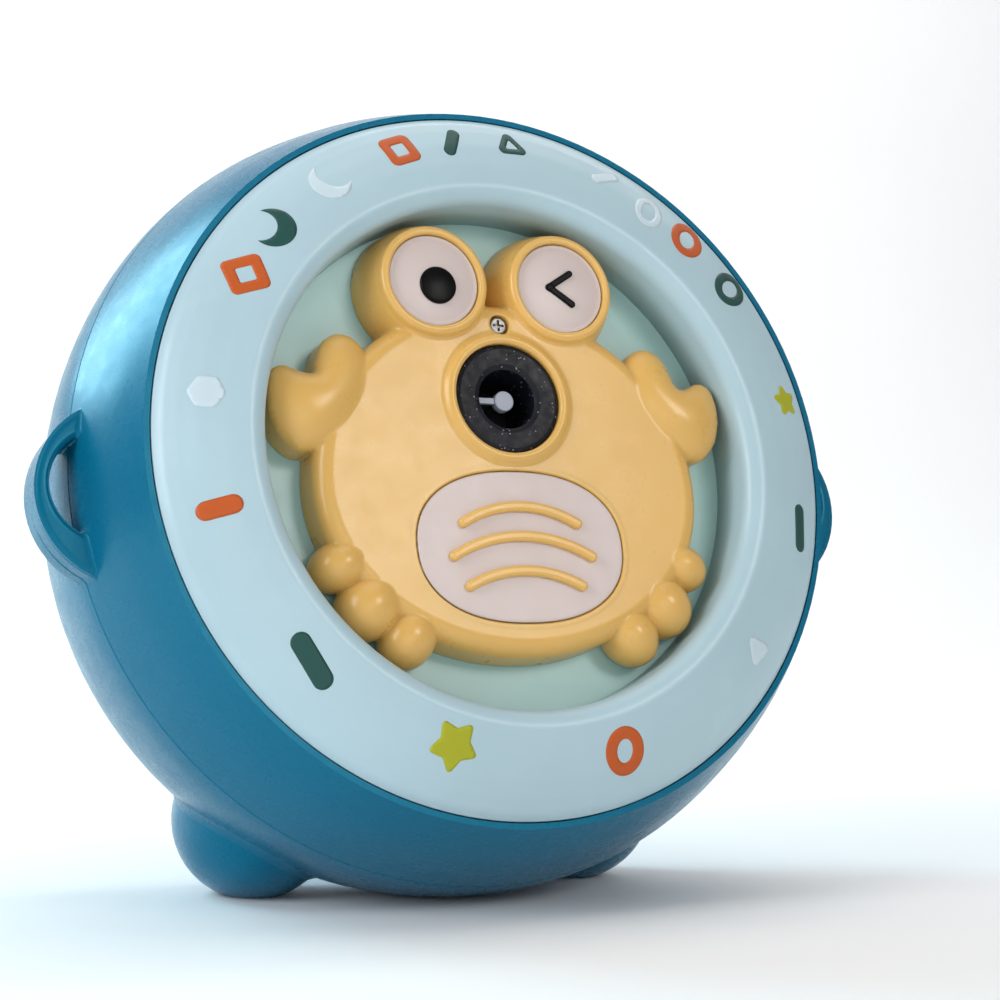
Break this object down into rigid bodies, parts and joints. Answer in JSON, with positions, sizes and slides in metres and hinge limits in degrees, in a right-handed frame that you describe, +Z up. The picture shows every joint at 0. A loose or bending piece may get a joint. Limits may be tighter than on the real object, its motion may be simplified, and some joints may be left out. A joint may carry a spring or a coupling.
{
  "type": "bubble machine",
  "caption": "Round tabletop bubble blower with a crab face, wiper nozzle, gear train, fan, peristaltic pump, liquid tank, battery bay and side strap eyes.",
  "frame": {"origin": "middle of the footprint box on the table, midway between the frontmost and rearmost points", "axes": "+Z up, -Y towards the child in front of the face, +X to the right seen from the front"},
  "size_m": [0.2332, 0.1478, 0.2134],
  "materials": {
    "shell_blue": "moulded, satin gloss",
    "ring_cyan": "moulded, satin, printed marks",
    "panel_teal": "moulded, satin",
    "crab_yellow": "moulded, satin",
    "face_white": "moulded, satin",
    "nozzle_black": "moulded, fine texture",
    "gloss_black": "moulded, polished",
    "steel": "plated",
    "gear_white": "moulded acetal",
    "arm_grey": "moulded",
    "chassis_grey": "moulded",
    "motor_metal": "plated can",
    "hose_clear": "soft tube",
    "tank_clear": "milky, moulded",
    "battery": "shrink sleeve",
    "contact": "sprung strip",
    "board_green": "laminate",
    "speaker_black": "cone and frame",
    "lamp_clear": "moulded lens",
    "button_cyan": "moulded",
    "cap_teal": "soft stopper"
  },
  "bodies": {
    "housing": {"air_plenum": "chassis_grey", "batteries": "battery", "battery_box": "chassis_grey", "battery_contacts": "contact", "belly_plate": "face_white", "belly_ribs": "crab_yellow", "blower_cover": "chassis_grey", "blower_housing": "chassis_grey", "chassis_screws": "steel", "control_board": "board_green", "crab_cover": "crab_yellow", "crab_screw": "steel", "drive_motor": "motor_metal", "eye_lamps": "lamp_clear", "eye_pupil": "gloss_black", "eye_white_left": "face_white", "eye_white_right": "face_white", "fan_motor": "motor_metal", "feed_hose": "hose_clear", "front_body_shell": "shell_blue", "front_ring": "ring_cyan", "gear_cover": "chassis_grey", "gear_cover_screws": "steel", "idler_pin": "steel", "liquid_tank": "tank_clear", "mechanism_chassis": "chassis_grey", "nozzle_ring": "nozzle_black", "panel_screws": "steel", "pump_housing": "chassis_grey", "pump_tube": "hose_clear", "rear_body_shell": "shell_blue", "recess_panel": "panel_teal", "shell_screws": "steel", "speaker": "speaker_black", "suction_hose": "hose_clear", "wink_mark": "gloss_black"},
    "wiper": {"wiper_arm": "arm_grey", "wiper_shaft": "steel", "wiper_gear": "gear_white"},
    "idler": {"compound_gear": "gear_white"},
    "drive_pinion": {"motor_pinion": "gear_white", "motor_shaft": "steel"},
    "pump": {"pump_gear": "gear_white", "pump_shaft": "steel", "pump_rotor": "gear_white"},
    "pump_roller_a": {"pump_roller_1": "gear_white"},
    "pump_roller_b": {"pump_roller_2": "gear_white"},
    "pump_roller_c": {"pump_roller_3": "gear_white"},
    "fan": {"fan_impeller": "chassis_grey", "fan_shaft": "steel"},
    "power": {"power_button": "button_cyan"},
    "music": {"music_button": "button_cyan"},
    "door": {"battery_door": "shell_blue", "battery_door_screw": "steel"},
    "cap": {"filler_cap": "cap_teal"}
  },
  "joints": [
    {"name": "wiper_spin", "type": "hinge", "parent": "housing", "child": "wiper", "pos_m": [0, -0.0251, 0.12623], "axis": [0, -0.9744, 0.225], "continuous": true},
    {"name": "idler_spin", "type": "hinge", "parent": "housing", "child": "idler", "pos_m": [0.01704, -0.00245, 0.10876], "axis": [0, -0.9744, 0.225], "continuous": true},
    {"name": "pinion_spin", "type": "hinge", "parent": "housing", "child": "drive_pinion", "pos_m": [0.03752, 0.00226, 0.11138], "axis": [0, -0.9744, 0.225], "continuous": true},
    {"name": "pump_spin", "type": "hinge", "parent": "housing", "child": "pump", "pos_m": [0.01343, -0.01485, 0.0906], "axis": [0, -0.9744, 0.225], "continuous": true},
    {"name": "roller_a_spin", "type": "hinge", "parent": "pump", "child": "pump_roller_a", "pos_m": [0.0194, -0.01943, 0.0952], "axis": [0, -0.9744, 0.225], "continuous": true},
    {"name": "roller_b_spin", "type": "hinge", "parent": "pump", "child": "pump_roller_b", "pos_m": [0.00745, -0.01943, 0.0952], "axis": [0, -0.9744, 0.225], "continuous": true},
    {"name": "roller_c_spin", "type": "hinge", "parent": "pump", "child": "pump_roller_c", "pos_m": [0.01343, -0.02176, 0.08511], "axis": [0, -0.9744, 0.225], "continuous": true},
    {"name": "fan_spin", "type": "hinge", "parent": "housing", "child": "fan", "pos_m": [-0.045, -0.02187, 0.10906], "axis": [0, -0.9744, 0.225], "continuous": true},
    {"name": "power_press", "type": "slide", "parent": "housing", "child": "power", "axis": [0, -0.9744, 0.225], "range_m": [0, 0.0011], "stiffness_N_per_m": 300},
    {"name": "music_press", "type": "slide", "parent": "housing", "child": "music", "axis": [0, -0.9744, 0.225], "range_m": [0, 0.0011], "stiffness_N_per_m": 300},
    {"name": "battery_door_open", "type": "hinge", "parent": "housing", "child": "door", "pos_m": [0, 0.05558, 0.07558], "axis": [-1, 0, 0], "range_deg": [0, 105]},
    {"name": "filler_cap_pull", "type": "slide", "parent": "housing", "child": "cap", "axis": [0, 0.9744, -0.225], "range_m": [0, 0.012]}
  ],
  "couplings": [
    {"joint": "idler_spin", "follows": "wiper_spin", "ratio": -3.3333},
    {"joint": "pinion_spin", "follows": "wiper_spin", "ratio": 11.111},
    {"joint": "pump_spin", "follows": "wiper_spin", "ratio": 1}
  ]
}
